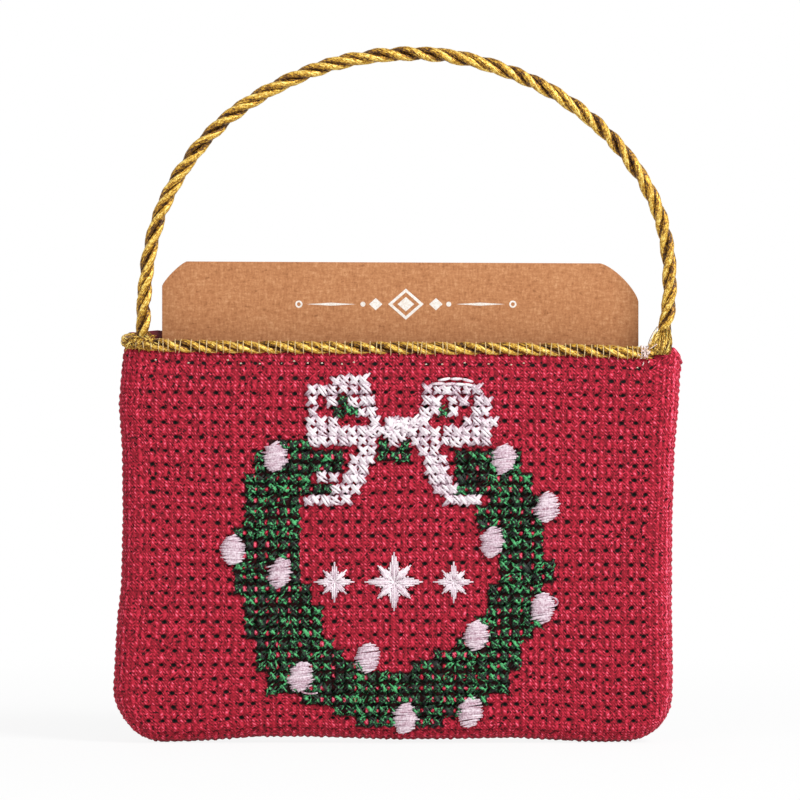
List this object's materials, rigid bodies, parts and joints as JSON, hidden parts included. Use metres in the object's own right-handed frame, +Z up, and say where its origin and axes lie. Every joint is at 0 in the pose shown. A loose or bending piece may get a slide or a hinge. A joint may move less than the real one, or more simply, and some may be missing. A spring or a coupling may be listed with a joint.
{
  "type": "gift card holder",
  "caption": "Small lined cloth pouch with a cross-stitched wreath, a twisted cord round its mouth, a swinging cord handle and a slip-in card.",
  "frame": {"origin": "middle of the foot that the pouch stands on, midway between its front and back", "axes": "+X to the right seen from the front, +Y from the stitched front to the back, +Z up"},
  "size_m": [0.1, 0.011, 0.1242],
  "materials": {
    "front_cloth": "open cross-stitch cloth, matte cotton",
    "back_cloth": "plain woven cotton, matte",
    "lining_cloth": "smooth woven lining, slight sheen",
    "seam_thread": "sewing thread",
    "gold_cord": "twisted metallic yarn, glossy",
    "cream_thread": "fine sewing thread, slight sheen",
    "green_floss": "stranded embroidery floss, satin",
    "white_floss": "stranded embroidery floss, satin",
    "kraft_board": "uncoated kraft card, matte"
  },
  "bodies": {
    "pouch": {"front_panel": "front_cloth", "back_panel": "back_cloth", "front_lining": "lining_cloth", "back_lining": "lining_cloth", "seam_thread": "seam_thread", "hem_stitches": "cream_thread", "trim_cord": "gold_cord", "trim_whip_stitches": "cream_thread", "trim_end_binding": "cream_thread", "handle_left_end": "gold_cord", "handle_right_end": "gold_cord", "handle_left_binding": "cream_thread", "handle_right_binding": "cream_thread", "wreath_stitches": "green_floss", "bow_stitches": "white_floss", "berry_stitches": "white_floss", "star_stitches": "white_floss"},
    "handle": {"handle_cord": "gold_cord"},
    "card": {"gift_card": "kraft_board"}
  },
  "joints": [
    {"name": "handle_swing", "type": "hinge", "parent": "pouch", "child": "handle", "pos_m": [0, -0.00145, 0.0745], "axis": [1, 0, 0], "range_deg": [-100, 105]},
    {"name": "card_slide", "type": "slide", "parent": "pouch", "child": "card", "axis": [0, 0, 1], "range_m": [0, 0.07]}
  ]
}
